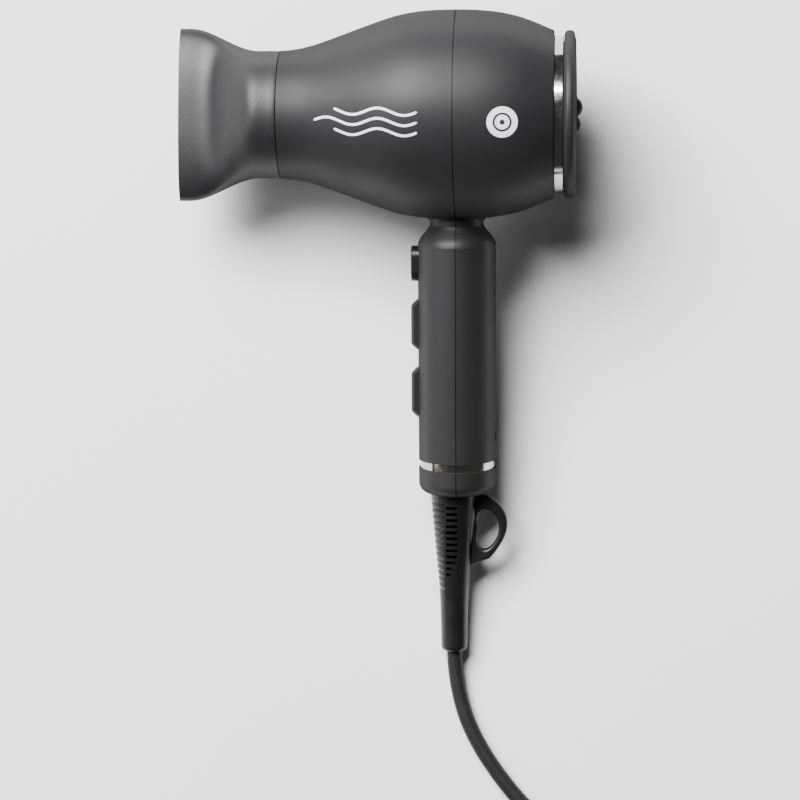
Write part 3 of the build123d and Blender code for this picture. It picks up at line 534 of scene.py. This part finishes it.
def strap_mesh():
    """A flat strap drawn tight round the bundle of turns."""
    first = round(STRAP_STEP) - 1
    section = [tuple(spot) for spot in coil_spots[first::COIL_STEPS]]
    middle_r = sum(radius for radius, _ in section) / len(section)
    hull = hull_round(section)
    outline = []
    for here, spot in enumerate(hull):
        before, after = hull[here - 1], hull[(here + 1) % len(hull)]
        start = atan2(spot[1] - before[1], spot[0] - before[0]) - pi / 2
        end = atan2(after[1] - spot[1], after[0] - spot[0]) - pi / 2
        sweep = (end - start) % (2 * pi)
        for step in range(STRAP_CORNER + 1):
            angle = start + sweep * step / STRAP_CORNER
            outline.append((*spot, cos(angle), sin(angle)))
    across, half_wide = STRAP_ACROSS, STRAP_HALF_WIDTH / middle_r
    centre_x, centre_y = COIL_CENTRE
    points, faces = [], []
    for radius, height, normal_r, normal_z in outline:
        for layer in (0, 1):
            for k in range(across):
                side = (k / (across - 1) - 0.5) * 2
                rounded = STRAP_THICKNESS * (STRAP_EDGE + STRAP_CROWN * (1 - abs(side) ** 5))
                stand_off = CORD_RADIUS + layer * rounded - STRAP_BITE
                angle = radians(STRAP_ANGLE) + side * half_wide
                out = radius + normal_r * stand_off
                x, y = centre_x + out * cos(angle), centre_y + out * sin(angle)
                z = max(height + normal_z * stand_off, STRAP_CLEAR)
                points.append(Vector((x, y, z)) * MM)
    ring = 2 * across
    count = len(outline)
    for i in range(count):
        a, b = i * ring, (i + 1) % count * ring
        for layer in (0, 1):
            for k in range(across - 1):
                m = layer * across + k
                faces.append((a + m, a + m + 1, b + m + 1, b + m))
        for k in (0, across - 1):
            faces.append((a + k, a + across + k, b + across + k, b + k))
    return points, faces


strap_points, strap_faces = strap_mesh()
strap_cloth = mineral("strap_cloth", (0.020, 0.020, 0.021), (0.008, 0.008, 0.008), 2200, 0.85)
coil_strap = mesh_piece("coil_strap", strap_points, strap_faces, strap_cloth, "dryer")
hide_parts("cord_tie")

# ---------------------------------------------------------------- print on the barrel
PRINT_LIFT = 0.06  # how far printed marks stand off the moulding
RAY_START = 80  # a height above the whole barrel
LINE_TAPER = 3  # steps in which a printed line rounds off at its ends
LINE_TIP = 0.05  # the share of its width that is left at the very end

WAVE_LINES = ((4.4, -52, -15), (0.0, -61, -15), (-4.4, -52, -15))  # (y, first x, last x)
WAVE_START, WAVE_LENGTH, WAVE_HEIGHT = -61, 23, 1.5
WAVE_WIDTH, WAVE_STEPS = 1.1, 90

BADGE_X, BADGE_R = 21.5, 6.7
BADGE_RING = (3.2, 4.1)  # its inner and outer radius
BADGE_DOT = 1.1
BADGE_HOLE = 0.05  # left open at the middle of a disc, too small to see
BADGE_LIFT = 0.04  # of the dark marks above the white disc


def on_barrel(x, y):
    """The point of the barrel's upper side at x, y of the design frame, lifted by the print."""
    start, direction = place(x, y, RAY_START), -axis_z
    hits = []
    for node in ("front_housing", "rear_housing"):
        hit, where, _, _ = frame["nodes"][node].ray_cast(start, direction)
        if hit:
            hits.append(where)
    highest = max(hits, key=lambda where: where.dot(axis_z))
    return highest + PRINT_LIFT * MM * axis_z


def printed_strip(name, line, width):
    """A printed line on the barrel, round-ended, along points of the design frame."""
    rows = []
    for i, (x, y) in enumerate(line):
        ahead = line[min(i + 1, len(line) - 1)]
        behind = line[max(i - 1, 0)]
        along = Vector((ahead[0] - behind[0], ahead[1] - behind[1])).normalized()
        end = min(i, len(line) - 1 - i) / LINE_TAPER
        half = width / 2 * min(1.0, (1 - (1 - min(end, 1)) ** 2) ** 0.5 + LINE_TIP)
        rows.append([on_barrel(x - along.y * half * s, y + along.x * half * s) for s in (-1, 0, 1)])
    points = [point for row in rows for point in row]
    faces = []
    for i in range(len(rows) - 1):
        for k in range(2):
            a = 3 * i + k
            faces.append((a, a + 1, a + 4, a + 3))
    return mesh_piece(name, points, faces, white_print, "dryer")


for index, (offset, start, end) in enumerate(WAVE_LINES):
    line = []
    for i in range(WAVE_STEPS + 1):
        x = start + (end - start) * i / WAVE_STEPS
        line.append((x, offset + WAVE_HEIGHT * sin(2 * pi * (x - WAVE_START) / WAVE_LENGTH)))
    printed_strip(f"airflow_mark_{index + 1}", line, WAVE_WIDTH)


def printed_disc(name, centre_x, inner, outer, material, lift=0.0):
    """A printed disc or ring on the barrel."""
    rings, segments = 5, 72
    points, faces = [], []
    for ring in range(rings + 1):
        radius = inner + (outer - inner) * ring / rings
        for i in range(segments):
            angle = 2 * pi * i / segments
            spot = on_barrel(centre_x + radius * cos(angle), radius * sin(angle))
            points.append(spot + lift * MM * axis_z)
    for ring in range(rings):
        for i in range(segments):
            a, b = ring * segments + i, ring * segments + (i + 1) % segments
            faces.append((a, b, b + segments, a + segments))
    return mesh_piece(name, points, faces, material, "dryer")


printed_disc("badge_disc", BADGE_X, BADGE_HOLE, BADGE_R, white_print)
printed_disc("badge_ring", BADGE_X, *BADGE_RING, black_nylon, BADGE_LIFT)
printed_disc("badge_dot", BADGE_X, BADGE_HOLE, BADGE_DOT, black_nylon, BADGE_LIFT)

# ---------------------------------------------------------------- floor and light
FLOOR_SIZE, FLOOR_HEIGHT = 8, -0.0003  # just under the model, so that nothing lies in its plane
KEY_OFFSET, KEY_SIZE, KEY_POWER = (-0.95, 1.15, 1.75), (1.6, 1.4), 240
SIDE_OFFSET, SIDE_SIZE, SIDE_POWER = (-1.5, -0.3, 0.9), (0.4, 1.2), 8
STUDIO_STRENGTH = 0.05

bpy.ops.mesh.primitive_plane_add(size=FLOOR_SIZE, location=(0, 0, FLOOR_HEIGHT))
floor_piece = bpy.context.object
floor_piece.name = "floor"
floor_shade = Shade("floor_white", (0.86, 0.86, 0.86), 0.75)
floor_shade.tint(floor_shade.noise(6), ((0.85, 0.85, 0.85), (0.87, 0.87, 0.87)))
floor_piece.data.materials.append(floor_shade.material)


def softbox(name, offset, size, power):
    """A rectangular area light that stands off the dryer and points at it."""
    data = bpy.data.lights.new(name, "AREA")
    data.shape = "RECTANGLE"
    data.size, data.size_y = size
    data.energy = power
    light = bpy.data.objects.new(name, data)
    light.location = crossing + Vector(offset)
    aim = crossing - light.location
    light.rotation_euler = aim.to_track_quat("-Z", "Y").to_euler()
    bpy.context.scene.collection.objects.link(light)


softbox("key", KEY_OFFSET, KEY_SIZE, KEY_POWER)
softbox("side", SIDE_OFFSET, SIDE_SIZE, SIDE_POWER)

world = bpy.data.worlds.new("studio")
world.use_nodes = True
background = world.node_tree.nodes["Background"]
background.inputs["Color"].default_value = (1, 1, 1, 1)
background.inputs["Strength"].default_value = STUDIO_STRENGTH
bpy.context.scene.world = world
